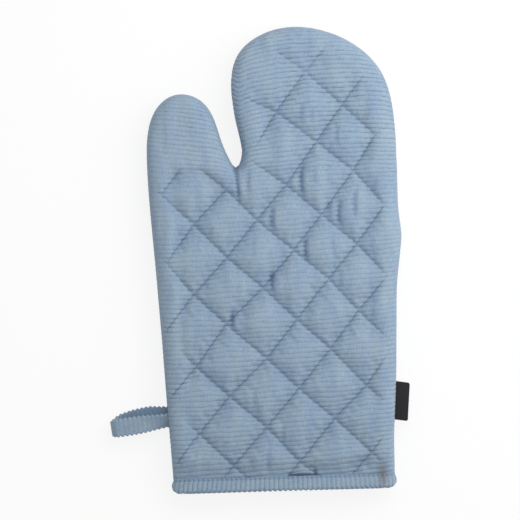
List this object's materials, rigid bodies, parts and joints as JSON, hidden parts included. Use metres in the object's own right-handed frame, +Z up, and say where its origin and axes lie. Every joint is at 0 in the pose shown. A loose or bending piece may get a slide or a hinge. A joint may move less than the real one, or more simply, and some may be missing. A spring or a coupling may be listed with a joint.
{
  "type": "oven mitt",
  "caption": "Quilted corduroy oven mitt lying flat, with a side thumb, a bound cuff open at the mouth, a hanging loop in one side seam and a blank ribbon tab in the other.",
  "frame": {"origin": "centre of the bounding box, at the bottom, on the table that the back panel lies on", "axes": "+Y runs from the cuff to the fingertips, +Z points up from the back panel to the front panel, and the thumb and the hanging loop are on the -X side"},
  "size_m": [0.2053, 0.32, 0.0265],
  "materials": {
    "corduroy": "light blue cotton corduroy, eight wales to the inch, matt with a soft pile",
    "batting": "white needled cotton wadding",
    "lining": "plain cotton weave, matt",
    "thread": "spun sewing thread in the cloth's colour",
    "ribbon": "black woven ribbon, matt, blank"
  },
  "bodies": {
    "mitt": {"front_shell": "corduroy", "back_shell": "corduroy", "front_batting": "batting", "back_batting": "batting", "front_lining": "lining", "back_lining": "lining", "cuff_binding": "corduroy", "binding_thread": "thread", "front_quilting_thread": "thread", "back_quilting_thread": "thread", "side_seam_thread": "thread"},
    "loop": {"hanging_loop": "corduroy"},
    "tab": {"side_tab": "ribbon"}
  },
  "joints": [
    {"name": "loop_swing", "type": "hinge", "parent": "mitt", "child": "loop", "pos_m": [-0.06384, -0.11009, 0.013], "axis": [-0.0845, 0.9964, 0], "range_deg": [-45, 65]},
    {"name": "tab_flap", "type": "hinge", "parent": "mitt", "child": "tab", "pos_m": [0.0936, -0.09651, 0.013], "axis": [-0.0268, -0.9996, 0], "range_deg": [-65, 65]}
  ]
}
